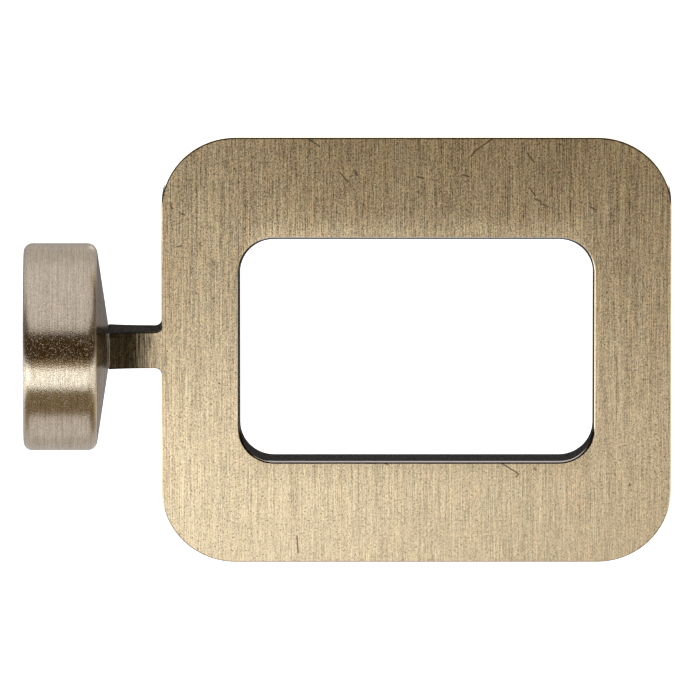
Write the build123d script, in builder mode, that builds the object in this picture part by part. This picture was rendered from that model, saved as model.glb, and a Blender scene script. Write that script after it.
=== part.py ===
from build123d import *
import os
from math import hypot

# Curtain rod finial: an open rectangular plate in line with the rod, on a round socket cap.
# The cap slips over the end of the rod and a set screw in its back grips the rod. The plate's
# neck seats on the cap's conical end, and a countersunk screw in the socket's floor holds it.
#
# Millimetres, +Z up, the rod's axis along X. The origin is the centre of the socket's open
# mouth, the plate lies towards +X, and its show face looks towards -Y.

# Driving dimensions of the socket cap
rod_diameter = 28.0
rod_clearance = 0.2
socket_wall = 1.8
socket_depth = 9.8
floor_thickness = 1.4
cone_rise = 2.4
mouth_land = 0.4
shoulder_round = 1.6

# Driving dimensions of the plate and its window
window_width = 54.3
window_height = 35.1
window_corner = 5.2
side_bar = 12.15
rail = 16.15
plate_corner = 11.4
plate_thickness = 4.8
edge_break = 0.2
window_edge_break = 0.5

# Driving dimensions of the neck, which flares in depth from the plate to the cap
neck_reach = 10.1
neck_height = 5.8
neck_depth_at_cap = 6.2
neck_fillet = 1.0
flare_clear = 0.6
seat_edge_break = 0.2

# Driving dimensions of the countersunk screw that joins the neck to the cap
join_diameter = 3.0
join_length = 8.0
join_head_diameter = 5.6
join_head_rim = 0.2
join_recess_span = 3.2
join_recess_width = 0.9
join_recess_depth = 1.3
join_tip_chamfer = 0.4
join_hole_spare = 1.0

# Driving dimensions of the set screw that grips the rod
set_diameter = 4.0
set_length = 3.0
set_key = 2.0
set_key_depth = 1.4
set_from_mouth = 5.0
set_end_chamfer = 0.4
set_cup_diameter = 2.0
set_cup_depth = 0.6

# Clearances between the pieces
seat_clearance = 0.03
thread_clearance = 0.05
head_clearance = 0.05
set_tip_setback = 0.3

# Places that follow from the sizes above
socket_radius = rod_diameter / 2 + rod_clearance
cap_radius = socket_radius + socket_wall
shoulder_x = socket_depth + floor_thickness
apex_x = shoulder_x + cone_rise
seat_x = apex_x - cone_rise / cap_radius * hypot(neck_height / 2, neck_depth_at_cap / 2)
cope_x = shoulder_x + seat_clearance
plate_left = shoulder_x + neck_reach
plate_width = window_width + 2 * side_bar
plate_height = window_height + 2 * rail
plate_right = plate_left + plate_width
half_plate = plate_thickness / 2
flare_start = plate_left - neck_fillet - flare_clear
join_radius = join_diameter / 2
join_head_radius = join_head_diameter / 2
join_tip_x = socket_depth + join_length
join_cone_x = socket_depth + join_head_rim
set_radius = set_diameter / 2
set_tip_y = socket_radius + set_tip_setback

# Planes that features share. The two seats of the joining screw look out of the socket's mouth.
socket_floor = Plane(origin=(socket_depth, 0, 0), z_dir=(-1, 0, 0))
neck_end = Plane(origin=(apex_x, 0, 0), z_dir=(-1, 0, 0))
cope_base = Plane(origin=(cope_x, 0, 0), z_dir=(1, 0, 0))
set_screw_axis = Plane(origin=(set_from_mouth, 0, 0), z_dir=(0, 1, 0))
set_screw_tip = set_screw_axis.offset(set_tip_y)
set_screw_top = set_screw_axis.offset(set_tip_y + set_length)

os.makedirs("parts", exist_ok=True)

# Socket cap: a turned cup with rounded rims and a conical end
with BuildPart() as socket_cap:
    with BuildSketch(Plane.XZ) as cap_section:
        with BuildLine():
            Polyline(
                (0, socket_radius),
                (0, cap_radius),
                (shoulder_x, cap_radius),
                (apex_x, 0),
                (socket_depth, 0),
                (socket_depth, socket_radius),
                close=True,
            )
        make_face()
        mouth_rim = cap_section.vertices().sort_by_distance((0, cap_radius))[0]
        fillet(mouth_rim, socket_wall - mouth_land)
        shoulder_rim = cap_section.vertices().sort_by_distance((shoulder_x, cap_radius))[0]
        fillet(shoulder_rim, shoulder_round)
    revolve(axis=Axis.X)
    with Locations(socket_floor):
        CounterSinkHole(
            radius=join_radius + thread_clearance,
            counter_sink_radius=join_head_radius + join_head_rim + head_clearance,
            counter_sink_angle=90,
        )
    with Locations(set_screw_axis.offset(cap_radius)):
        Hole(radius=set_radius + thread_clearance, depth=2 * socket_wall)

socket_cap.part.label = "socket_cap"
export_step(socket_cap.part, "parts/socket_cap.step")

# Window plate and its neck, one piece. The end of the neck is coped to the cap's cone, so that
# it seats all over, and it is tapped for the joining screw.
with BuildPart() as window_plate:
    with BuildSketch(Plane.XZ):
        with Locations(((plate_left + plate_right) / 2, 0)):
            RectangleRounded(plate_width, plate_height, plate_corner)
            RectangleRounded(window_width, window_height, window_corner, mode=Mode.SUBTRACT)
    extrude(amount=half_plate, both=True)
    with BuildSketch(Plane.XY):
        with BuildLine():
            in_bar = Line((plate_left + side_bar / 2, 0), (plate_left + side_bar / 2, half_plate))
            straight = Line(in_bar @ 1, (flare_start, half_plate))
            flare = TangentArc(straight @ 1, (seat_x, neck_depth_at_cap / 2), tangent=(-1, 0))
            into_cone = Line(flare @ 1, (cope_x, neck_depth_at_cap / 2))
            Line(into_cone @ 1, (cope_x, 0))
            mirror(about=Plane.XZ)
        make_face()
    extrude(amount=neck_height / 2, both=True)
    neck_roots = window_plate.edges(Select.LAST).filter_by(Axis.Y).group_by(Axis.X)[-1]
    fillet(neck_roots, neck_fillet)
    with Locations(cope_base):
        Cone(
            bottom_radius=cap_radius,
            top_radius=0,
            height=cone_rise,
            align=(Align.CENTER, Align.CENTER, Align.MIN),
            mode=Mode.SUBTRACT,
        )
    flat_faces = window_plate.faces().filter_by(Plane.XZ).sort_by(Axis.Y)
    window_rims = flat_faces[0].inner_wires() + flat_faces[-1].inner_wires()
    chamfer([edge for rim in window_rims for edge in rim.edges()], window_edge_break)
    flat_faces = window_plate.faces().filter_by(Plane.XZ).sort_by(Axis.Y)
    outlines = ShapeList(flat_faces[0].outer_wire().edges() + flat_faces[-1].outer_wire().edges())
    past_flare = flare_start + flare_clear / 4
    chamfer(outlines.filter_by_position(Axis.X, past_flare, plate_right), edge_break)
    seat = window_plate.faces().filter_by(GeomType.CONE).sort_by(Axis.X)[0]
    chamfer(seat.edges(), seat_edge_break)
    with Locations(neck_end):
        Hole(radius=join_radius + thread_clearance, depth=join_tip_x + join_hole_spare - apex_x)

window_plate.part.label = "window_plate"
export_step(window_plate.part, "parts/window_plate.step")

# Joining screw: countersunk, its head level with the socket's floor, with a cross recess
with BuildPart() as joining_screw:
    with BuildSketch(Plane.XZ):
        with BuildLine():
            Polyline(
                (socket_depth, 0),
                (socket_depth, join_head_radius),
                (join_cone_x, join_head_radius),
                (join_cone_x + join_head_radius - join_radius, join_radius),
                (join_tip_x - join_tip_chamfer, join_radius),
                (join_tip_x, join_radius - join_tip_chamfer),
                (join_tip_x, 0),
                close=True,
            )
        make_face()
    revolve(axis=Axis.X)
    with BuildSketch(socket_floor):
        Rectangle(join_recess_span, join_recess_width)
        Rectangle(join_recess_width, join_recess_span)
    extrude(amount=-join_recess_depth, mode=Mode.SUBTRACT)

joining_screw.part.label = "joining_screw"
export_step(joining_screw.part, "parts/joining_screw.step")

# Set screw: headless, backed out so that its cup point stays clear of the rod
with BuildPart() as set_screw:
    with BuildSketch(set_screw_tip):
        Circle(set_radius)
    extrude(amount=set_length)
    chamfer(set_screw.edges().filter_by(GeomType.CIRCLE), set_end_chamfer)
    with BuildSketch(set_screw_top):
        RegularPolygon(set_key / 2, 6, major_radius=False)
    extrude(amount=-set_key_depth, mode=Mode.SUBTRACT)
    with Locations(set_screw_tip):
        Cone(
            bottom_radius=set_cup_diameter / 2,
            top_radius=0,
            height=set_cup_depth,
            align=(Align.CENTER, Align.CENTER, Align.MIN),
            mode=Mode.SUBTRACT,
        )

set_screw.part.label = "set_screw"
export_step(set_screw.part, "parts/set_screw.step")
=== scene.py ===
# %% [markdown]
# A curtain rod finial in brushed antique brass. A flat plate with a rounded window stands in line
# with the rod. Its neck seats on the conical end of a round cap, which slips over the rod's end.
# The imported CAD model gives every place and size, so this lesson starts by loading it.

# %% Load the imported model
import math

import bmesh
import bpy
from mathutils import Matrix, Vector


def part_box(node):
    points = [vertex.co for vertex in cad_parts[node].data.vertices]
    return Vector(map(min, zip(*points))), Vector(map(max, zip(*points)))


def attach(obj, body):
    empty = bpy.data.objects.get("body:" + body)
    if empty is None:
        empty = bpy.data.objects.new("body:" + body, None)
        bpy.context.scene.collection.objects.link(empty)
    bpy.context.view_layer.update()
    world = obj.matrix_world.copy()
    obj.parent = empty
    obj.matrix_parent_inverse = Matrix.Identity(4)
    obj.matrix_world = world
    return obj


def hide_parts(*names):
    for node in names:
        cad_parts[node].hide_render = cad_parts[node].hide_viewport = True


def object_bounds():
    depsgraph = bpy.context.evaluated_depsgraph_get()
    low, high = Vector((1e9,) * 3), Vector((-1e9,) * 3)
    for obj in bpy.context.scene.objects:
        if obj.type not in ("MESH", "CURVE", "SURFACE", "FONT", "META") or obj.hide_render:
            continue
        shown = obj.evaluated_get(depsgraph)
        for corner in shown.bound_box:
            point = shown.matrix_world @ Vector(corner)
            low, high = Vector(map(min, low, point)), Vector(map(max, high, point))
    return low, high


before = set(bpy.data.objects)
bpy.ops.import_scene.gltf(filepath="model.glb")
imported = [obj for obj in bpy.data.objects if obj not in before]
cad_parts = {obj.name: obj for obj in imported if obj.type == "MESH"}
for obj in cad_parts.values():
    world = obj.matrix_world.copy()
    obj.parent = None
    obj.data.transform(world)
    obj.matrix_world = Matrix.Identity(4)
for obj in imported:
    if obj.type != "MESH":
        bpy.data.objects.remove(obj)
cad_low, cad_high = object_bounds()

MM = 0.001
scene = bpy.context.scene
scene.view_settings.view_transform = "Standard"
cap_low, cap_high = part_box("socket_cap")
_, plate_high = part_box("window_plate")
print("CAD nodes:", ", ".join(sorted(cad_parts)))

# %% [markdown]
# The camera stands a little above the rod and far away, so the picture has almost no perspective.
# The cap's height in the photograph sets the scale, because the cap's diameter is known from the
# CAD model and a cylinder seen from the side keeps its full diameter.

# %% Camera
PHOTO_PIXELS = 696
CAP_PIXELS = 207.5
CAP_LEFT_PIXEL = 23.5
ROD_AXIS_PIXEL = 346.7
CAMERA_ELEVATION = math.radians(14)
CAMERA_DISTANCE = 4.6
SENSOR = 36.0

metres_per_pixel = (cap_high.z - cap_low.z) / CAP_PIXELS
view_width = PHOTO_PIXELS * metres_per_pixel
middle = PHOTO_PIXELS / 2
aim = Vector((
    (middle - CAP_LEFT_PIXEL) * metres_per_pixel,
    0.0,
    (ROD_AXIS_PIXEL - middle) * metres_per_pixel / math.cos(CAMERA_ELEVATION),
))
towards_camera = Vector((0.0, -math.cos(CAMERA_ELEVATION), math.sin(CAMERA_ELEVATION)))

camera_data = bpy.data.cameras.new("photo_camera")
camera_data.sensor_width = SENSOR
camera_data.lens = SENSOR * CAMERA_DISTANCE / view_width
camera = bpy.data.objects.new("photo_camera", camera_data)
camera.location = aim + towards_camera * CAMERA_DISTANCE
camera.rotation_euler = (-towards_camera).to_track_quat("-Z", "Y").to_euler()
scene.collection.objects.link(camera)
scene.camera = camera
print(f"camera lens {camera_data.lens:.0f} mm, view {view_width / MM:.1f} mm wide")

# %% [markdown]
# Every finish and every Geometry Nodes tree below is a chain of nodes. A few small helpers keep the
# chains readable: they add a node with its inputs plugged in, do sums with numbers and vectors, fade
# or slide a value into a range, and mix two colours.

# %% Node helpers


def plug(tree, socket, value):
    if isinstance(value, bpy.types.NodeSocket):
        tree.links.new(value, socket)
    elif isinstance(value, bpy.types.Node):
        tree.links.new(value.outputs[0], socket)
    else:
        socket.default_value = value


def add(tree, kind, inputs=None, **settings):
    node = tree.nodes.new(kind)
    for name, value in settings.items():
        setattr(node, name, value)
    for socket, value in (inputs or {}).items():
        plug(tree, node.inputs[socket], value)
    return node


def calc(tree, operation, *values):
    return add(tree, "ShaderNodeMath", dict(enumerate(values)), operation=operation).outputs[0]


def vector(tree, operation, *values):
    return add(tree, "ShaderNodeVectorMath", dict(enumerate(values)), operation=operation).outputs["Vector"]


def measure(tree, operation, *values):
    return add(tree, "ShaderNodeVectorMath", dict(enumerate(values)), operation=operation).outputs["Value"]


def fade(tree, value, low, high):
    return add(
        tree, "ShaderNodeMapRange", {"Value": value, "From Min": low, "From Max": high},
        interpolation_type="SMOOTHSTEP",
    ).outputs[0]


def slide(tree, value, low, high, start=0.0, end=1.0):
    return add(tree, "ShaderNodeMapRange", {
        "Value": value, "From Min": low, "From Max": high, "To Min": start, "To Max": end,
    }).outputs[0]


def blend_colour(tree, factor, first, second):
    mix = add(tree, "ShaderNodeMix", {"Factor": factor}, data_type="RGBA")
    plug(tree, mix.inputs[6], first)
    plug(tree, mix.inputs[7], second)
    return mix.outputs[2]


def axes(tree, value):
    return add(tree, "ShaderNodeSeparateXYZ", {0: value}).outputs


print("node helpers ready")

# %% [markdown]
# Brushed metal shows its surroundings as soft bands, so the studio is drawn as bands by height: a pale
# ceiling, the dark side of the room and a pale table. The front, the sides, the back and the two back
# corners each have their own bands, which run into each other. The camera itself sees plain white.

# %% Studio light
PALE = (0.70, 0.685, 0.72)
ROOM = (0.055, 0.034, 0.012)
GAP = (0.20, 0.152, 0.088)
GREY = (0.14, 0.13, 0.13)
MIST = (0.42, 0.40, 0.40)
HAZE = (0.53, 0.51, 0.51)
SIDE_GLOW = (1.4, 1.42, 1.46)
WARM = (0.285, 0.19, 0.075)
FRONT_BANDS = (
    (-90, PALE), (-70, PALE), (-64, GAP), (-20, GAP), (-10, WARM), (-5, WARM), (-1, ROOM), (27, ROOM),
    (32, PALE), (90, PALE),
)
SIDE_BANDS = (
    (-90, PALE), (-70, PALE), (-64, GAP), (-31, GAP), (-27, SIDE_GLOW), (-12, SIDE_GLOW), (-6, ROOM),
    (27, ROOM), (32, PALE), (90, PALE),
)
BACK_BANDS = (
    (-90, PALE), (-60, HAZE), (-19, HAZE), (-14, GREY), (-11.5, GREY), (-9, MIST), (8, MIST), (20, HAZE),
    (45, HAZE), (65, PALE), (90, PALE),
)
CORNER_BANDS = (
    (-90, PALE), (-60, HAZE), (-27, HAZE), (-22, SIDE_GLOW), (-16, SIDE_GLOW), (-6, GREY), (4, GREY),
    (12, PALE), (90, PALE),
)
ASIDE = (0.35, 0.60)
BEHIND = (0.1, 0.5)


def height(degrees):
    return (degrees + 90) / 180


def elevation_ramp(tree, along, bands):
    ramp = add(tree, "ShaderNodeValToRGB", {0: along})
    stops = ramp.color_ramp.elements
    for index, (degrees, colour) in enumerate(bands):
        stop = stops[index] if index < 2 else stops.new(height(degrees))
        stop.position = height(degrees)
        stop.color = (*colour, 1)
    return ramp.outputs["Color"]


def make_studio():
    world = bpy.data.worlds.new("studio")
    world.use_nodes = True
    tree = world.node_tree
    tree.nodes.clear()
    direction = axes(tree, add(tree, "ShaderNodeTexCoord").outputs["Generated"])
    elevation = calc(tree, "ARCSINE", direction["Z"])
    along = calc(tree, "MULTIPLY_ADD", elevation, 1 / math.pi, 0.5)
    front = elevation_ramp(tree, along, FRONT_BANDS)
    side = elevation_ramp(tree, along, SIDE_BANDS)
    back = elevation_ramp(tree, along, BACK_BANDS)
    corner = elevation_ramp(tree, along, CORNER_BANDS)
    aside = fade(tree, calc(tree, "ABSOLUTE", direction["X"]), *ASIDE)
    behind = fade(tree, direction["Y"], *BEHIND)
    before_it = blend_colour(tree, aside, front, side)
    behind_it = blend_colour(tree, aside, back, corner)
    colour = blend_colour(tree, behind, before_it, behind_it)
    studio = add(tree, "ShaderNodeBackground", {"Color": colour})
    white = add(tree, "ShaderNodeBackground", {"Color": (1, 1, 1, 1)})
    rays = add(tree, "ShaderNodeLightPath")
    seen = calc(tree, "MAXIMUM", rays.outputs["Is Camera Ray"], rays.outputs["Is Transmission Ray"])
    choose = add(tree, "ShaderNodeMixShader", {0: seen, 1: studio, 2: white})
    add(tree, "ShaderNodeOutputWorld", {"Surface": choose})
    return world


scene.world = make_studio()
band_sets = (FRONT_BANDS, SIDE_BANDS, BACK_BANDS, CORNER_BANDS)
print("studio bands in each set:", [len(bands) for bands in band_sets])

# %% [markdown]
# One bright card stands low in front of the object and near it. Because it is near, the top of the
# plate sees its edge and the bottom sees its middle, which gives the plate its soft fall of light.

# %% Front card
CARD_DISTANCE = 0.25
CARD_RISE = (-0.163, -0.045)
CARD_SIDES = (-0.40, 0.082)
CARD_STRENGTH = 1.34
CARD_COLOUR = (0.915, 0.99, 1.09)


def light_card(name, sides, rise, y, strength, colour, turn, spread=math.pi):
    left, right = sides
    bottom, top = rise
    lamp = bpy.data.lights.new(name, "AREA")
    lamp.shape = "RECTANGLE"
    lamp.size = right - left
    lamp.size_y = top - bottom
    lamp.color = colour
    lamp.spread = spread
    lamp.energy = strength * math.pi * lamp.size * lamp.size_y
    card = bpy.data.objects.new(name, lamp)
    card.location = ((left + right) / 2, y, (bottom + top) / 2)
    card.rotation_euler = (turn, 0, 0)
    card.visible_camera = False
    scene.collection.objects.link(card)
    print(f"{name}: {lamp.size / MM:.0f} by {lamp.size_y / MM:.0f} mm, {lamp.energy:.4f} W")


light_card(
    "front_card", CARD_SIDES, CARD_RISE, -CARD_DISTANCE, CARD_STRENGTH, CARD_COLOUR, math.pi / 2,
)

# %% [markdown]
# A small white screen stands just behind the plate, level with its top edge. The camera looks down
# on that edge at a low angle, so the edge mirrors what is behind it and fades into the white ground,
# as it does in the photograph. The screen is too small and too high to light the cap.

# %% Back screen
SCREEN_DISTANCE = 0.03
SCREEN_SIDES = (0.0145, 0.118)
SCREEN_RISE = (0.0195, 0.0445)
SCREEN_STRENGTH = 0.2
SCREEN_SPREAD = math.radians(44)

light_card(
    "back_screen", SCREEN_SIDES, SCREEN_RISE, SCREEN_DISTANCE, SCREEN_STRENGTH, (1, 1, 1), -math.pi / 2,
    SCREEN_SPREAD,
)

# %% [markdown]
# The floor is a plain pale sheet far below, because the finial hangs on its rod. It is left out of
# the metal's reflections, which show the studio bands instead.

# %% Floor
FLOOR_DROP = 0.25
FLOOR_HALF = 4.0


def make_floor():
    material = bpy.data.materials.new("pale_floor")
    material.use_nodes = True
    tree = material.node_tree
    tree.nodes.clear()
    rays = add(tree, "ShaderNodeLightPath")
    paint = add(tree, "ShaderNodeBsdfDiffuse", {"Color": (0.9, 0.9, 0.9, 1)})
    glow = add(tree, "ShaderNodeEmission", {
        "Color": (1, 1, 1, 1), "Strength": rays.outputs["Is Camera Ray"],
    })
    surface = add(tree, "ShaderNodeAddShader", {0: paint, 1: glow})
    add(tree, "ShaderNodeOutputMaterial", {"Surface": surface})
    mesh = bpy.data.meshes.new("floor")
    half, level = FLOOR_HALF, cad_low.z - FLOOR_DROP
    corners = [(-half, -half, level), (half, -half, level), (half, half, level), (-half, half, level)]
    mesh.from_pydata(corners, [], [(0, 1, 2, 3)])
    mesh.materials.append(material)
    floor = bpy.data.objects.new("floor", mesh)
    floor.visible_glossy = False
    scene.collection.objects.link(floor)
    print(f"floor at {level:.2f} m")


make_floor()

# %% [markdown]
# The brass was brushed up and down the plate and round the cap, so the fine lines run across the X
# axis everywhere. They could be drawn on a UV map, but noise that is squeezed along X and stretched
# along Y and Z draws them on both pieces without a seam.

# %% Metal helpers
NOISE_ROUGHNESS = 0.55


def stretched_noise(tree, place, across, along, detail):
    stretched = add(
        tree, "ShaderNodeMapping", {"Vector": place, "Scale": (across, along, along)}, vector_type="TEXTURE",
    )
    noise = add(tree, "ShaderNodeTexNoise", {
        "Vector": stretched, "Scale": 1.0, "Detail": detail, "Roughness": NOISE_ROUGHNESS,
    })
    return noise.outputs[0]


def start_metal(name, metallic, anisotropic):
    material = bpy.data.materials.new(name)
    material.use_nodes = True
    tree = material.node_tree
    shader = tree.nodes["Principled BSDF"]
    shader.inputs["Metallic"].default_value = metallic
    shader.inputs["Anisotropic"].default_value = anisotropic
    coordinates = add(tree, "ShaderNodeTexCoord").outputs
    return material, tree, shader, coordinates["Object"], coordinates["Normal"]


def scaled(tree, value, factor):
    return add(tree, "ShaderNodeVectorMath", {0: value, "Scale": factor}, operation="SCALE").outputs[0]


print("metal helpers ready")

# %% [markdown]
# Brushing leaves marks of several lengths: long strokes, short hairlines, broad faint bands, a fine
# grain between them and a few pits. Their sum makes one tone, which shades the colour, and the same
# noise raises the bump, so a bright line is also a ridge. The shader's anisotropy then smears each
# reflection along the brush.

# %% Brush marks
BRASS = (0.74, 0.60, 0.39)
PALE_BRASS = (0.72, 0.62, 0.47)
ACROSS_THE_BRUSH = (1.0, 0.013, 0.021)
STROKE = (0.12 * MM, 15 * MM)
HAIRLINE = (0.12 * MM, 3 * MM)
BAND = (1.6 * MM, 60 * MM)
STROKE_SHARE = 0.34
HAIRLINE_SHARE = 0.28
BAND_SHARE = 0.06
TONE_SPAN = 0.25
GRAIN_ACROSS = 0.8
GRAIN_ALONG = 1.15
PIT_ACROSS = 0.85
PIT_ALONG = 1.15
PIT_EDGE = (0.66, 0.74)


def brushed(
    tree, shader, place, normal, contrast, graininess, pitting, ridge_height,
    speckle, speckle_height, pit, pit_depth, strength,
):
    strokes = stretched_noise(tree, place, *STROKE, 1.0)
    hairlines = stretched_noise(tree, place, *HAIRLINE, 1.0)
    bands = stretched_noise(tree, place, *BAND, 1.0)
    grain = stretched_noise(tree, place, GRAIN_ACROSS * speckle, GRAIN_ALONG * speckle, 0.0)
    pits = fade(tree, stretched_noise(tree, place, PIT_ACROSS * pit, PIT_ALONG * pit, 0.0), *PIT_EDGE)

    lines = calc(tree, "MULTIPLY", strokes, STROKE_SHARE)
    lines = calc(tree, "MULTIPLY_ADD", hairlines, HAIRLINE_SHARE, lines)
    tone = calc(tree, "MULTIPLY_ADD", grain, graininess, lines)
    tone = calc(tree, "MULTIPLY_ADD", bands, BAND_SHARE, tone)
    middle_tone = (STROKE_SHARE + HAIRLINE_SHARE + BAND_SHARE + graininess) / 2
    shade = slide(tree, tone, middle_tone - TONE_SPAN, middle_tone + TONE_SPAN, 1 - contrast, 1 + contrast)
    shade = calc(tree, "MULTIPLY", shade, calc(tree, "MULTIPLY_ADD", pits, -pitting, 1.0))

    ridges = add(tree, "ShaderNodeBump", {
        "Height": lines, "Strength": 1.0, "Distance": ridge_height, "Normal": normal,
    })
    specks = add(tree, "ShaderNodeBump", {
        "Height": calc(tree, "MULTIPLY_ADD", pits, -pit_depth, grain), "Strength": strength,
        "Distance": speckle_height, "Normal": ridges,
    })
    plug(tree, shader.inputs["Normal"], specks)
    tangent = add(tree, "ShaderNodeCombineXYZ", dict(enumerate(ACROSS_THE_BRUSH)))
    plug(tree, shader.inputs["Tangent"], tangent)
    return shade, strokes, hairlines, grain


print("brass base colour", BRASS)

# %% [markdown]
# The plate's finish changes from place to place: on its face, on its edges, in the window and along
# the neck. The CAD boxes give its outline, and a few sizes repeat the part's own, so that each mask
# below falls on its edge.

# %% Places on the plate
SHOULDER_X = 11.2 * MM
NECK_REACH = 10.1 * MM
SIDE_BAR = 12.15 * MM
RAIL = 16.15 * MM
WINDOW_EDGE_BREAK = 0.5 * MM
EDGE_MARGIN = 0.1 * MM

plate_left = SHOULDER_X + NECK_REACH
window_x = (plate_left + plate_high.x) / 2
window_half_width = (plate_high.x - plate_left) / 2 - SIDE_BAR
window_half_height = plate_high.z - RAIL


def beyond_window(tree, place):
    x, _, z = axes(tree, place)
    sideways = calc(tree, "ABSOLUTE", calc(tree, "SUBTRACT", x, window_x))
    upwards = calc(tree, "ABSOLUTE", z)
    return (
        calc(tree, "SUBTRACT", sideways, window_half_width),
        calc(tree, "SUBTRACT", upwards, window_half_height),
    )


def window_edge(tree, place):
    sideways, upwards = beyond_window(tree, place)
    reach = WINDOW_EDGE_BREAK + EDGE_MARGIN
    return fade(tree, calc(tree, "MAXIMUM", sideways, upwards), reach + EDGE_MARGIN, reach)


print(f"window {2 * window_half_width / MM:.1f} by {2 * window_half_height / MM:.1f} mm")

# %% [markdown]
# The plate has been handled, and some short scratches go through the brushed face into dark metal.
# They are thinner than a hair, so instead of cutting the mesh, a shader group draws each one from its
# two ends: it measures how far a point lies from the line between them. The ends were read off the
# photograph in pixels, and the camera's scale turns them into places on the plate's front face.

# %% Scratches
SCRATCHES = (
    ((307, 138), (320, 147)), ((340, 173), (348, 182)), ((354, 171), (358, 176)), ((417, 177), (424, 179)),
    ((462, 175), (469, 177)), ((527, 154), (534, 163)), ((541, 204), (548, 207)), ((570, 201), (570, 212)),
    ((590, 207), (595, 210)), ((529, 188), (535, 196)), ((534, 199), (541, 202)), ((196, 293), (197, 294)),
    ((171, 204), (172, 209)), ((181, 214), (185, 215)), ((252, 158), (254, 157)), ((177, 247), (182, 246)),
    ((219, 383), (220, 384)), ((607, 292), (607, 293)), ((297, 536), (298, 553)), ((384, 463), (388, 465)),
    ((498, 461), (519, 474)), ((519, 474), (516, 477)), ((535, 468), (535, 470)), ((630, 484), (630, 486)),
    ((471, 157), (474, 152)), ((474, 152), (494, 138)),
)
SCRATCH_WIDTH = 0.12 * MM
SCRATCH_EDGE = (1.2, 0.5)
FRONT_FACE_Y = -2.4 * MM
FRONT_ONLY = (0.0, -0.5 * MM)


def front_point(pixel):
    x, y = pixel
    rise = (ROD_AXIS_PIXEL - y) * metres_per_pixel - FRONT_FACE_Y * math.sin(CAMERA_ELEVATION)
    return ((x - CAP_LEFT_PIXEL) * metres_per_pixel, 0.0, rise / math.cos(CAMERA_ELEVATION))


def scratch_group():
    tree = bpy.data.node_groups.new("scratch", "ShaderNodeTree")
    for name in ("Place", "From", "To"):
        tree.interface.new_socket(name, in_out="INPUT", socket_type="NodeSocketVector")
    tree.interface.new_socket("Width", in_out="INPUT", socket_type="NodeSocketFloat")
    tree.interface.new_socket("Mark", in_out="OUTPUT", socket_type="NodeSocketFloat")
    given = add(tree, "NodeGroupInput").outputs
    flat = vector(tree, "MULTIPLY", given["Place"], (1, 0, 1))
    reach = vector(tree, "SUBTRACT", flat, given["From"])
    length = vector(tree, "SUBTRACT", given["To"], given["From"])
    along = measure(tree, "DOT_PRODUCT", reach, length)
    share = slide(tree, calc(tree, "DIVIDE", along, measure(tree, "DOT_PRODUCT", length, length)), 0.0, 1.0)
    gap = measure(tree, "DISTANCE", reach, scaled(tree, length, share))
    mark = fade(tree, calc(tree, "DIVIDE", gap, given["Width"]), *SCRATCH_EDGE)
    add(tree, "NodeGroupOutput", {"Mark": mark})
    return tree


def scratched(tree, place):
    group = scratch_group()
    marks = 0.0
    for start, end in SCRATCHES:
        scratch = add(tree, "ShaderNodeGroup", node_tree=group)
        ends = {"Place": place, "From": front_point(start), "To": front_point(end), "Width": SCRATCH_WIDTH}
        for name, value in ends.items():
            plug(tree, scratch.inputs[name], value)
        marks = calc(tree, "MAXIMUM", scratch.outputs[0], marks)
    return calc(tree, "MULTIPLY", marks, fade(tree, axes(tree, place)["Y"], *FRONT_ONLY))


print(len(SCRATCHES), "scratches")

# %% [markdown]
# A plate that has been stamped and brushed is never quite flat. Its face bulges by less than a hair,
# it bulges less towards the neck, and the brush has rounded it over along the window. That is too
# little for the solid, but a shiny face shows it at once, as light that falls from bright at the
# bottom to dark at the top. So the shading normal leans with the place, and the mesh stays flat.

# %% Crowned face
CROWN = 1.25
CROWN_LOW = 18 * MM
TWIST = 0.65
TWIST_FROM = window_x - 10 * MM
TWIST_TO = plate_left + 6 * MM
DUB = 0.035
DUB_REACH = 5 * MM
DUB_ENDS = (1 * MM, -3 * MM)


def crowned_normal(tree, place, normal, on_face):
    along, _, height_up = axes(tree, place)
    sideways, upwards = beyond_window(tree, place)
    dubbed = calc(tree, "MULTIPLY", fade(tree, upwards, DUB_REACH, 0.0), fade(tree, sideways, *DUB_ENDS))
    dubbed = calc(tree, "MULTIPLY", calc(tree, "MULTIPLY", dubbed, -DUB), calc(tree, "SIGN", height_up))
    near_neck = fade(tree, along, TWIST_FROM, TWIST_TO)
    twisted = calc(tree, "MULTIPLY", calc(tree, "MULTIPLY", height_up, -TWIST), near_neck)
    bent = add(tree, "ShaderNodeCombineXYZ", {"Z": calc(tree, "ADD", dubbed, twisted)})
    centre = (-CROWN * window_x, 0, CROWN * CROWN_LOW)
    bulge = vector(tree, "MULTIPLY_ADD", place, (CROWN, 0, CROWN), centre)
    lean = scaled(tree, vector(tree, "ADD", bulge, bent), on_face)
    return vector(tree, "NORMALIZE", vector(tree, "ADD", lean, normal))


print(f"the face leans up to {math.degrees(CROWN * (plate_high.z + CROWN_LOW)):.1f} degrees")

# %% [markdown]
# The plate was blackened before it was brushed, and the brush could not reach into the window, so a
# dark line stays along its rim. The rounded rims also get painted reflections: a painted dark line
# where the window's lower rim and the plate's top edge turn a little upwards, and a painted
# highlight beside the window's dark line on its upper and lower rims and where the neck's end seats
# on the cap. Every one of them follows the way that the rounded edge faces.

# %% Rims and seam
WINDOW_SIDES = (
    ("Z", 0.3, 0.5, 0.36),
    ("Z", -0.1, -0.3, -0.15),
    ("X", 0.1, 0.3, -0.36),
    ("X", -0.1, -0.3, -0.12),
)
DARK_LINE = (0.72, 0.60)
LOWER_RIM = (0.03, 0.08)
LOWER_RIM_END = (0.62, 0.52)
TOP_EDGE = (0.03, 0.12)
TOP_EDGE_END = (0.06, 0.16)
HIGHLIGHT_BELOW = (0.56, 0.66)
HIGHLIGHT_ABOVE = (-0.1, -0.3)
SEAM_FACING = (-0.20, -0.35)
SEAM_ENDS = (plate_left - 5 * MM, plate_left - 6 * MM)


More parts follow.
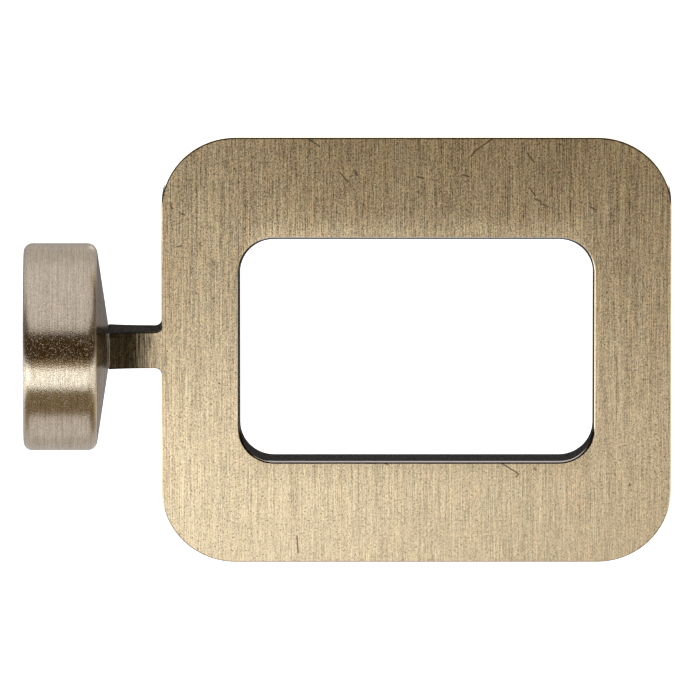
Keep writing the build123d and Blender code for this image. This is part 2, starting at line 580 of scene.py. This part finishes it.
def rim_masks(tree, place, normal, facing):
    faces = axes(tree, normal)
    up = faces["Z"]
    inside = window_edge(tree, place)
    turned_away = facing
    for axis, start, end, shift in WINDOW_SIDES:
        turned_away = calc(tree, "MULTIPLY_ADD", fade(tree, faces[axis], start, end), shift, turned_away)
    turned_in = calc(tree, "MULTIPLY", fade(tree, turned_away, *DARK_LINE), inside)
    # Painted dark reflection: the window's lower rim and the plate's top edge are painted dark where they turn
    # a little upwards.
    inner = calc(tree, "MULTIPLY", fade(tree, up, *LOWER_RIM), fade(tree, up, *LOWER_RIM_END))
    outer = calc(tree, "MULTIPLY", fade(tree, up, *TOP_EDGE), fade(tree, facing, *TOP_EDGE_END))
    dark = calc(tree, "MAXIMUM", turned_in, slide(tree, inside, 0.0, 1.0, outer, inner))

    # Painted highlight: beside the dark line, the window's upper and lower rims are painted pale.
    highlight_band = calc(tree, "ADD", fade(tree, up, *HIGHLIGHT_BELOW), fade(tree, up, *HIGHLIGHT_ABOVE))
    rim_highlight = calc(tree, "MULTIPLY", highlight_band, calc(tree, "SUBTRACT", inside, turned_in))
    # Painted highlight: the end of the neck, where it faces the cap, is painted pale.
    at_seat = fade(tree, axes(tree, place)["X"], *SEAM_ENDS)
    seam_highlight = calc(tree, "MULTIPLY", fade(tree, faces["X"], *SEAM_FACING), at_seat)
    return dark, calc(tree, "MAXIMUM", seam_highlight, rim_highlight)


print("rim masks for", len(WINDOW_SIDES), "sides of the window")

# %% [markdown]
# Now the plate's finish puts these together. Brushed brass covers the face, smoother brass the outer
# edges, and a dark brown takes over the end of the neck towards the cap. That border is ragged along
# the brush lines, because the same noise moves it. Towards the top of the face the brush lines get
# more contrast, as painted glints where the face mirrors the dark side of the room.

# %% Plate finish
NECK_DARK_BROWN = (0.045, 0.032, 0.016)
# Dark metal for the scratches and the window's skin, also the colour of the painted dark reflections.
SKIN_AND_PAINTED_DARK_REFLECTION = (0.03, 0.026, 0.02, 1)
PAINTED_HIGHLIGHT_COLOUR = (0.95, 0.93, 0.88, 1)
NECK_BORDER = (plate_left + 1.1 * MM, plate_left - 4.7 * MM)
NECK_RAGGED = 3.0 * MM
SCRATCH_DARKNESS = 0.75
SCRATCH_FACING = (0.95, 0.99)
FACE_FACING = (0.97, 0.995)
EDGE_FACING = (0.995, 0.97)
PLATE_START = (plate_left - 0.4 * MM, plate_left)
GLINT_HEIGHTS = (-30 * MM, 30 * MM)
PAINTED_GLINT_GAIN = (0.85, 1.6)
EDGE_COVER = 0.85
EDGE_GRAIN = 0.1
FACE_ROUGHNESS = (0.10, 0.32)
EDGE_ROUGHNESS = 0.16


# The brass turns dark brown towards the cap, along a ragged border.
def neck_mask(tree, along, strokes, hairlines):
    ragged = calc(tree, "MULTIPLY_ADD", calc(tree, "ADD", hairlines, strokes), NECK_RAGGED, -NECK_RAGGED)
    return fade(tree, calc(tree, "ADD", along, ragged), *NECK_BORDER)


def plate_finish():
    material, tree, shader, place, normal = start_metal("plate_brushed_brass", 1.0, 0.8)
    along, _, height_up = axes(tree, place)
    facing = calc(tree, "ABSOLUTE", axes(tree, normal)["Y"])
    on_plate = fade(tree, along, *PLATE_START)
    on_face = calc(tree, "MULTIPLY", fade(tree, facing, *FACE_FACING), on_plate)
    off_face = calc(tree, "MULTIPLY", fade(tree, facing, *EDGE_FACING), on_plate)
    shade, strokes, hairlines, grain = brushed(
        tree, shader, place, crowned_normal(tree, place, normal, on_face), contrast=0.8, graininess=0.30,
        pitting=0.4, ridge_height=0.02 * MM, speckle=0.155 * MM, speckle_height=0.015 * MM,
        pit=0.26 * MM, pit_depth=0.6, strength=slide(tree, off_face, 0.0, 1.0, 1.0, EDGE_GRAIN),
    )

    # Painted glints: towards the top of the face, where it mirrors the dark room, the brush lines get more
    # contrast.
    glint_gain = slide(tree, height_up, *GLINT_HEIGHTS, *PAINTED_GLINT_GAIN)
    shade = calc(tree, "MULTIPLY_ADD", calc(tree, "SUBTRACT", shade, 1.0), glint_gain, 1.0)
    dark_neck_colour = scaled(tree, NECK_DARK_BROWN, calc(tree, "POWER", shade, 2.0))
    dark_neck = neck_mask(tree, along, strokes, hairlines)
    colour = blend_colour(tree, dark_neck, scaled(tree, BRASS, shade), dark_neck_colour)
    colour = blend_colour(tree, calc(tree, "MULTIPLY", off_face, EDGE_COVER), colour, (*BRASS, 1))
    marks = calc(tree, "MULTIPLY", scratched(tree, place), fade(tree, facing, *SCRATCH_FACING))
    colour = blend_colour(tree, calc(tree, "MULTIPLY", marks, SCRATCH_DARKNESS), colour, SKIN_AND_PAINTED_DARK_REFLECTION)
    skin_and_dark_reflection, painted_highlights = rim_masks(tree, place, normal, facing)
    # The dark skin in the window's rim, with the painted dark reflections on the rims.
    colour = blend_colour(tree, skin_and_dark_reflection, colour, SKIN_AND_PAINTED_DARK_REFLECTION)
    # The painted highlights are pale and not metallic.
    colour = blend_colour(tree, painted_highlights, colour, PAINTED_HIGHLIGHT_COLOUR)

    plug(tree, shader.inputs["Base Color"], colour)
    plug(tree, shader.inputs["Metallic"], calc(tree, "SUBTRACT", 1.0, painted_highlights))
    rough = calc(tree, "MULTIPLY_ADD", grain, *FACE_ROUGHNESS)
    plug(tree, shader.inputs["Roughness"], slide(tree, off_face, 0.0, 1.0, rough, EDGE_ROUGHNESS))
    return material


plate_brass = plate_finish()
print("plate finish:", len(plate_brass.node_tree.nodes), "nodes")

# %% [markdown]
# Inside the window and on top of the neck the dark skin is whole. It is a dull, nearly black coat,
# not bare metal, so it gets its own material with a faint speckle and no gloss.

# %% Dark skin
SKIN_DARK = (0.027, 0.026, 0.023, 1)
SKIN_LIGHT = (0.100, 0.097, 0.088, 1)
SKIN_SPECKLE = (0.2 * MM, 0.25 * MM)
SKIN_SPECKLE_EDGE = (0.35, 0.65)
SKIN_ROUGHNESS = (0.2, 0.45)
SKIN_BUMP = 0.01 * MM


def skin_finish():
    material, tree, shader, place, _ = start_metal("dark_skin", 0.0, 0.0)
    speckle = stretched_noise(tree, place, *SKIN_SPECKLE, 2.0)
    colour = blend_colour(tree, fade(tree, speckle, *SKIN_SPECKLE_EDGE), SKIN_DARK, SKIN_LIGHT)
    plug(tree, shader.inputs["Base Color"], colour)
    plug(tree, shader.inputs["Roughness"], calc(tree, "MULTIPLY_ADD", speckle, *SKIN_ROUGHNESS))
    shader.inputs["Specular IOR Level"].default_value = 0.0
    bump = add(tree, "ShaderNodeBump", {"Height": speckle, "Strength": 1.0, "Distance": SKIN_BUMP})
    plug(tree, shader.inputs["Normal"], bump)
    return material


dark_skin = skin_finish()
print("dark skin:", len(dark_skin.node_tree.nodes), "nodes")

# %% [markdown]
# The cap is brushed round its barrel on a lathe, and its conical end is left smooth, so that the neck
# is mirrored in it. The way that the surface faces tells the two apart, and the cone gets a lower
# roughness and hardly any grain in its bump.

# %% Cap finish
CONE_FACING = (0.90, 0.97)
CONE_GRAIN = 0.15
CONE_ROUGHNESS = 0.14
BARREL_ROUGHNESS = (0.06, 0.22)


def cap_finish():
    material, tree, shader, place, normal = start_metal("cap_brushed_brass", 1.0, 1.0)
    on_cone = fade(tree, axes(tree, normal)["X"], *CONE_FACING)
    shade, _, _, grain = brushed(
        tree, shader, place, normal, contrast=0.5, graininess=0.50, pitting=0.1, ridge_height=0.012 * MM,
        speckle=0.14 * MM, speckle_height=0.012 * MM, pit=0.15 * MM, pit_depth=1.5,
        strength=slide(tree, on_cone, 0.0, 1.0, 1.0, CONE_GRAIN),
    )
    plug(tree, shader.inputs["Base Color"], scaled(tree, PALE_BRASS, shade))
    rough = calc(tree, "MULTIPLY_ADD", grain, *BARREL_ROUGHNESS)
    plug(tree, shader.inputs["Roughness"], slide(tree, on_cone, 0.0, 1.0, rough, CONE_ROUGHNESS))
    return material


cap_brass = cap_finish()
print("cap finish:", len(cap_brass.node_tree.nodes), "nodes")

# %% [markdown]
# The screws are steel with a thin plating that has dulled in patches. One noise mixes a dark and a
# light grey and makes the dull patches rougher.

# %% Plated steel
STEEL_DARK = (0.30, 0.29, 0.28, 1)
STEEL_LIGHT = (0.52, 0.51, 0.50, 1)
STEEL_PATCH = (0.3 * MM, 0.3 * MM)
STEEL_PATCH_EDGE = (0.3, 0.7)
STEEL_ROUGHNESS = (0.25, 0.2)


def steel_finish():
    material, tree, shader, place, _ = start_metal("plated_steel", 1.0, 0.0)
    patches = stretched_noise(tree, place, *STEEL_PATCH, 3.0)
    colour = blend_colour(tree, fade(tree, patches, *STEEL_PATCH_EDGE), STEEL_DARK, STEEL_LIGHT)
    plug(tree, shader.inputs["Base Color"], colour)
    plug(tree, shader.inputs["Roughness"], calc(tree, "MULTIPLY_ADD", patches, *STEEL_ROUGHNESS))
    return material


plated_steel = steel_finish()
print("plated steel:", len(plated_steel.node_tree.nodes), "nodes")

# %% [markdown]
# Three pieces are turned on a lathe: the cap and both screws. One Geometry Nodes recipe makes them:
# a list of named points becomes a profile curve, Fillet Curve rounds its corners, and Curve to Mesh
# carries it round a circle. Cutters and a screw thread are added in the same tree.

# %% Lathe helpers
CORNER_POINTS = 8
MERGE_DISTANCE = 1e-6


def new_tree(name, sizes):
    tree = bpy.data.node_groups.new(name, "GeometryNodeTree")
    tree.interface.new_socket("Geometry", in_out="OUTPUT", socket_type="NodeSocketGeometry")
    for size in sizes:
        tree.interface.new_socket(size, in_out="INPUT", socket_type="NodeSocketFloat")
    return tree, add(tree, "NodeGroupInput").outputs


def pick(tree, kind, values):
    switch = add(tree, "GeometryNodeIndexSwitch", data_type=kind)
    while len(switch.index_switch_items) < len(values):
        switch.index_switch_items.new()
    plug(tree, switch.inputs["Index"], add(tree, "GeometryNodeInputIndex"))
    for index, value in enumerate(values):
        plug(tree, switch.inputs[str(index)], value)
    return switch.outputs[0]


def turned(tree, points, wheel, segments, closed):
    spots = [
        add(tree, "ShaderNodeCombineXYZ", {
            "X": calc(tree, "SUBTRACT", radius, wheel), "Y": calc(tree, "MULTIPLY", along, -1.0),
        }).outputs[0]
        for along, radius, _ in points
    ]
    dots = add(tree, "GeometryNodePoints", {"Count": len(points), "Position": pick(tree, "VECTOR", spots)})
    order = add(tree, "GeometryNodeInputIndex")
    profile = add(tree, "GeometryNodePointsToCurves", {"Points": dots, "Weight": order})
    profile = add(tree, "GeometryNodeSetSplineCyclic", {"Geometry": profile, "Cyclic": closed})
    rounds = pick(tree, "FLOAT", [corner for _, _, corner in points])
    profile = add(
        tree, "GeometryNodeFilletCurve", {"Curve": profile, "Count": CORNER_POINTS, "Radius": rounds},
        mode="POLY",
    )
    circle = add(tree, "GeometryNodeCurvePrimitiveCircle", {"Resolution": segments, "Radius": wheel})
    swept = add(tree, "GeometryNodeCurveToMesh", {"Curve": circle, "Profile Curve": profile})
    return add(tree, "GeometryNodeMergeByDistance", {"Geometry": swept, "Distance": MERGE_DISTANCE}).outputs[0]


def cut(tree, body, cutter, place, turn=(0, 0, 0)):
    placed = add(tree, "GeometryNodeTransform", {"Geometry": cutter, "Translation": place, "Rotation": turn})
    return add(
        tree, "GeometryNodeMeshBoolean", {"Mesh 1": body, "Mesh 2": placed},
        operation="DIFFERENCE", solver="EXACT",
    ).outputs[0]


def end_tree(tree, shape, turn, place, finish):
    placed = add(tree, "GeometryNodeTransform", {"Geometry": shape, "Rotation": turn, "Translation": place})
    solid = add(tree, "GeometryNodeRealizeInstances", {"Geometry": placed})
    dressed = add(tree, "GeometryNodeSetMaterial", {"Geometry": solid, "Material": finish})
    add(tree, "NodeGroupOutput", {"Geometry": dressed})


print("lathe helpers ready")

# %% [markdown]
# A tree only describes a shape. Each piece evaluates its tree once, keeps the result as a plain mesh
# and drops the modifier. Its doubles are merged and its faces turned outwards, and weighted normals
# keep the flat ends flat beside the rounded corners. Then the piece takes the place of its CAD node.

# %% From tree to finished piece
CLOSE_DISTANCE = 0.3e-6
SHARP_ANGLE = math.radians(35)
LARGE_FACES_FIRST = 100


def close_mesh(mesh, recalculate):
    shape = bmesh.new()
    shape.from_mesh(mesh)
    bmesh.ops.remove_doubles(shape, verts=shape.verts, dist=CLOSE_DISTANCE)
    bmesh.ops.dissolve_degenerate(shape, edges=shape.edges, dist=CLOSE_DISTANCE)
    if recalculate:
        bmesh.ops.recalc_face_normals(shape, faces=shape.faces)
    open_edges = sum(not edge.is_manifold for edge in shape.edges)
    shape.to_mesh(mesh)
    shape.free()
    return open_edges


def keep_result(piece):
    evaluated = piece.evaluated_get(bpy.context.evaluated_depsgraph_get())
    mesh = bpy.data.meshes.new_from_object(evaluated)
    piece.modifiers.clear()
    piece.data = mesh


def even_shading(piece):
    piece.data.shade_smooth()
    piece.data.set_sharp_from_angle(angle=SHARP_ANGLE)
    weigh = piece.modifiers.new("even_shading", "WEIGHTED_NORMAL")
    weigh.keep_sharp = True
    weigh.weight = LARGE_FACES_FIRST
    keep_result(piece)


def dress(piece, node):
    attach(piece, "root")
    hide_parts(node)


def grow(name, tree, sizes, node):
    piece = bpy.data.objects.new(name, bpy.data.meshes.new(name))
    scene.collection.objects.link(piece)
    lathe = piece.modifiers.new("lathe", "NODES")
    lathe.node_group = tree
    for item in tree.interface.items_tree:
        if item.in_out == "INPUT":
            lathe[item.identifier] = sizes[item.name]
    keep_result(piece)
    open_edges = close_mesh(piece.data, True)
    even_shading(piece)
    dress(piece, node)
    print(name, len(piece.data.polygons), "faces,", open_edges, "open edges")


print("pieces are kept as plain meshes")

# %% [markdown]
# The cap is a cup turned from bar, with a socket for the rod, a rounded mouth, a rounded shoulder and
# a conical end that has a countersunk hole in its middle. The CAD mesh could be dressed as it is, but
# the lathe recipe gives rounder rims. A drill for the set screw cuts through the back of the wall.

# %% Cap
CAP_SEGMENTS = 192
DRILL_SEGMENTS = 48
DRILL_LENGTH = 6 * MM
cap_sizes = {
    "Mouth": 0.0,
    "Cap Radius": cap_high.z,
    "Socket Radius": 14.2 * MM,
    "Socket Depth": 9.8 * MM,
    "Shoulder": SHOULDER_X,
    "Cone Rise": 2.4 * MM,
    "Mouth Round": 1.4 * MM,
    "Shoulder Round": 1.6 * MM,
    "Screw Hole": 1.55 * MM,
    "Sink Radius": 3.05 * MM,
    "Set Screw Hole": 2.05 * MM,
    "Set Screw From Mouth": 5.0 * MM,
}


def cap_tree():
    tree, size = new_tree("turned_cap", cap_sizes)
    slope = calc(tree, "DIVIDE", size["Cone Rise"], size["Cap Radius"])
    apex = calc(tree, "ADD", size["Shoulder"], size["Cone Rise"])
    cone_edge = calc(tree, "SUBTRACT", apex, calc(tree, "MULTIPLY", slope, size["Screw Hole"]))
    sink = calc(tree, "SUBTRACT", size["Sink Radius"], size["Screw Hole"])
    sink_end = calc(tree, "ADD", size["Socket Depth"], sink)
    shape = turned(tree, (
        (size["Mouth"], size["Socket Radius"], 0.0),
        (size["Mouth"], size["Cap Radius"], size["Mouth Round"]),
        (size["Shoulder"], size["Cap Radius"], size["Shoulder Round"]),
        (cone_edge, size["Screw Hole"], 0.0),
        (sink_end, size["Screw Hole"], 0.0),
        (size["Socket Depth"], size["Sink Radius"], 0.0),
        (size["Socket Depth"], size["Socket Radius"], 0.0),
    ), size["Cap Radius"], CAP_SEGMENTS, True)
    drill = add(tree, "GeometryNodeMeshCylinder", {
        "Vertices": DRILL_SEGMENTS, "Radius": size["Set Screw Hole"], "Depth": DRILL_LENGTH,
    })
    spot = add(tree, "ShaderNodeCombineXYZ", {
        "Y": size["Cap Radius"], "Z": size["Set Screw From Mouth"],
    })
    shape = cut(tree, shape, drill.outputs["Mesh"], spot.outputs[0], (math.pi / 2, 0, 0))
    end_tree(tree, shape, (0, math.pi / 2, 0), (0, 0, 0), cap_brass)
    return tree


grow("brushed_socket_cap", cap_tree(), cap_sizes, "socket_cap")

# %% [markdown]
# A screw thread is a ridge that follows a helix. Geometry Nodes carries a small diamond along a spiral
# curve, whose length, pitch and radius are inputs, so one recipe serves both screws. The ridge is
# sunk halfway into the screw's core and joined to it.

# %% Screw thread
THREAD_STEPS = 40
RIDGE_HALF_WIDTH = 0.45


def thread(tree, size):
    turns = calc(tree, "DIVIDE", size["Thread Length"], size["Pitch"])
    helix = add(tree, "GeometryNodeCurveSpiral", {
        "Resolution": THREAD_STEPS, "Rotations": turns, "Start Radius": size["Root Radius"],
        "End Radius": size["Root Radius"], "Height": size["Thread Length"],
    })
    helix = add(tree, "GeometryNodeSetCurveNormal", {"Curve": helix}, mode="Z_UP")
    depth = calc(tree, "SUBTRACT", size["Thread Radius"], size["Root Radius"])
    ridge = add(tree, "GeometryNodeCurvePrimitiveCircle", {"Resolution": 4, "Radius": 1.0})
    width = calc(tree, "MULTIPLY", size["Pitch"], RIDGE_HALF_WIDTH)
    shape = add(tree, "ShaderNodeCombineXYZ", {"X": depth, "Y": width, "Z": 1.0})
    ridge = add(tree, "GeometryNodeTransform", {"Geometry": ridge.outputs[0], "Scale": shape.outputs[0]})
    coil = add(tree, "GeometryNodeCurveToMesh", {"Curve": helix, "Profile Curve": ridge, "Fill Caps": True})
    start = add(tree, "ShaderNodeCombineXYZ", {"Z": size["Thread Start"]})
    return add(tree, "GeometryNodeTransform", {"Geometry": coil, "Translation": start.outputs[0]}).outputs[0]


def join(tree, *shapes):
    joined = add(tree, "GeometryNodeJoinGeometry")
    for shape in shapes:
        tree.links.new(shape, joined.inputs[0])
    return joined.outputs[0]


print("thread recipe ready")

# %% [markdown]
# The joining screw holds the neck to the cap. Its countersunk head lies level with the socket's floor,
# where the rod's end covers it, and it has a cross recess for a screwdriver. Two boxes cut the cross.

# %% Joining screw
SCREW_SEGMENTS = 64
joining_low, joining_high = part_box("joining_screw")
joining_sizes = {
    "Top": 0.0,
    "Head Radius": joining_high.z,
    "Head Rim": 0.2 * MM,
    "Thread Radius": 1.5 * MM,
    "Root Radius": 1.22 * MM,
    "Pitch": 0.5 * MM,
    "Thread Start": 2.0 * MM,
    "Thread Length": 5.5 * MM,
    "Length": joining_high.x - joining_low.x,
    "Tip Radius": 0.9 * MM,
    "Recess Span": 3.2 * MM,
    "Recess Width": 0.9 * MM,
    "Recess Depth": 1.3 * MM,
}


def joining_tree():
    tree, size = new_tree("joining_screw", joining_sizes)
    cone = calc(tree, "SUBTRACT", size["Head Radius"], size["Root Radius"])
    cone_end = calc(tree, "ADD", size["Head Rim"], cone)
    point = calc(tree, "SUBTRACT", size["Root Radius"], size["Tip Radius"])
    tip = calc(tree, "SUBTRACT", size["Length"], point)
    core = turned(tree, (
        (size["Top"], 0.0, 0.0),
        (size["Top"], size["Head Radius"], 0.0),
        (size["Head Rim"], size["Head Radius"], 0.0),
        (cone_end, size["Root Radius"], 0.0),
        (tip, size["Root Radius"], 0.0),
        (size["Length"], size["Tip Radius"], 0.0),
        (size["Length"], 0.0, 0.0),
    ), size["Head Radius"], SCREW_SEGMENTS, False)
    deep = calc(tree, "MULTIPLY", size["Recess Depth"], 2.0)
    for x, y in (("Recess Span", "Recess Width"), ("Recess Width", "Recess Span")):
        slot = add(tree, "ShaderNodeCombineXYZ", {"X": size[x], "Y": size[y], "Z": deep})
        box = add(tree, "GeometryNodeMeshCube", {"Size": slot.outputs[0]})
        core = cut(tree, core, box.outputs["Mesh"], (0, 0, 0))
    whole = join(tree, core, thread(tree, size))
    end_tree(tree, whole, (0, math.pi / 2, 0), (joining_low.x, 0, 0), plated_steel)
    return tree


grow("countersunk_joining_screw", joining_tree(), joining_sizes, "joining_screw")

# %% [markdown]
# The set screw goes through the back of the cap and grips the rod. It has no head: a hexagon key turns
# it, and the rim of its cupped point bites into the rod. A six-sided cylinder cuts the key's hole and a
# cone cuts the cup.

# %% Set screw
CUP_SEGMENTS = 32
CUP_DIP = 0.01 * MM
END_ROUND = 0.15 * MM
set_low, set_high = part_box("set_screw")
set_sizes = {
    "Tip": 0.0,
    "Thread Radius": set_high.z,
    "Root Radius": 1.62 * MM,
    "Pitch": 0.7 * MM,
    "Thread Start": 0.45 * MM,
    "Thread Length": 2.1 * MM,
    "Length": set_high.y - set_low.y,
    "Key Radius": 1.0 * MM / math.cos(math.pi / 6),
    "Key Depth": 1.4 * MM,
    "Cup Radius": 1.0 * MM,
    "Cup Depth": 0.6 * MM,
}


def set_tree():
    tree, size = new_tree("set_screw", set_sizes)
    core = turned(tree, (
        (size["Tip"], 0.0, 0.0),
        (size["Tip"], size["Root Radius"], END_ROUND),
        (size["Length"], size["Root Radius"], END_ROUND),
        (size["Length"], 0.0, 0.0),
    ), size["Thread Radius"], SCREW_SEGMENTS, False)
    deep = calc(tree, "MULTIPLY", size["Key Depth"], 2.0)
    key = add(tree, "GeometryNodeMeshCylinder", {"Vertices": 6, "Radius": size["Key Radius"], "Depth": deep})
    top = add(tree, "ShaderNodeCombineXYZ", {"Z": size["Length"]})
    core = cut(tree, core, key.outputs["Mesh"], top.outputs[0])
    cup = add(tree, "GeometryNodeMeshCone", {
        "Vertices": CUP_SEGMENTS, "Radius Top": 0.0, "Radius Bottom": size["Cup Radius"],
        "Depth": size["Cup Depth"],
    })
    core = cut(tree, core, cup.outputs["Mesh"], (0, 0, -CUP_DIP))
    place = ((set_low.x + set_high.x) / 2, set_low.y, 0)
    whole = join(tree, core, thread(tree, size))
    end_tree(tree, whole, (-math.pi / 2, 0, 0), place, plated_steel)
    return tree


grow("threaded_set_screw", set_tree(), set_sizes, "set_screw")

# %% [markdown]
# The plate is flat and its CAD mesh is exact, so a merged copy of that mesh is dressed instead of a new
# one. Narrow chamfers stand for its small rounds, and here the normals along each chamfer turn from the
# face to the wall, so that it catches the light as a round does.

# %% Rounded rims
WALL_FACING = 0.35
FLAT_FACING = 0.9999
SAME_SIDE = 0.5


def rim_normal(face, near):
    square = abs(face.normal.y)
    if square > FLAT_FACING:
        return face.normal
    close = [other for other in near if other.normal.dot(face.normal) > SAME_SIDE]
    flat = [other for other in close if abs(other.normal.y) > FLAT_FACING]
    wall = [other for other in close if abs(other.normal.y) < WALL_FACING]
    kin = wall if square < WALL_FACING else flat or wall or close
    return sum((other.normal * other.area for other in kin), Vector()).normalized()


def round_rims(mesh):
    mesh.shade_smooth()
    around = [[] for _ in mesh.vertices]
    for face in mesh.polygons:
        for vertex in face.vertices:
            around[vertex].append(face)
    normals = [Vector()] * len(mesh.loops)
    for face in mesh.polygons:
        for loop in face.loop_indices:
            normals[loop] = rim_normal(face, around[mesh.loops[loop].vertex_index])
    mesh.normals_split_custom_set(normals)
    print(len(normals), "corner normals set")


print(f"walls turn at least {math.degrees(math.acos(WALL_FACING)):.0f} degrees from the face")

# %% [markdown]
# The walls of the window and of the neck take the dark skin, and everything else the brushed brass. A
# face's place and the way it faces tell which is which.

# %% Plate
NECK_MARGIN = 0.1 * MM


def in_window(x, z):
    margin = WINDOW_EDGE_BREAK / 2
    return abs(x - window_x) < window_half_width + margin and abs(z) < window_half_height + margin


def window_plate():
    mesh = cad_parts["window_plate"].data.copy()
    mesh.name = "brushed_window_plate"
    open_edges = close_mesh(mesh, False)
    mesh.materials.clear()
    mesh.materials.append(plate_brass)
    mesh.materials.append(dark_skin)
    for face in mesh.polygons:
        x, z = face.center.x, face.center.z
        unbrushed = in_window(x, z) or x < plate_left - NECK_MARGIN
        face.material_index = int(abs(face.normal.y) < WALL_FACING and unbrushed)
    piece = bpy.data.objects.new("brushed_window_plate", mesh)
    scene.collection.objects.link(piece)
    round_rims(mesh)
    dress(piece, "window_plate")
    print(piece.name, len(piece.data.polygons), "faces,", open_edges, "open edges")


window_plate()

# %% [markdown]
# Last, the CAD model's size is printed. The dressed model's box has to agree with it, because a
# dressed part that is larger than its solids would not fit where they fit.

# %% Size of the CAD model
print("CAD size in mm:", [round(side / MM, 2) for side in cad_high - cad_low])
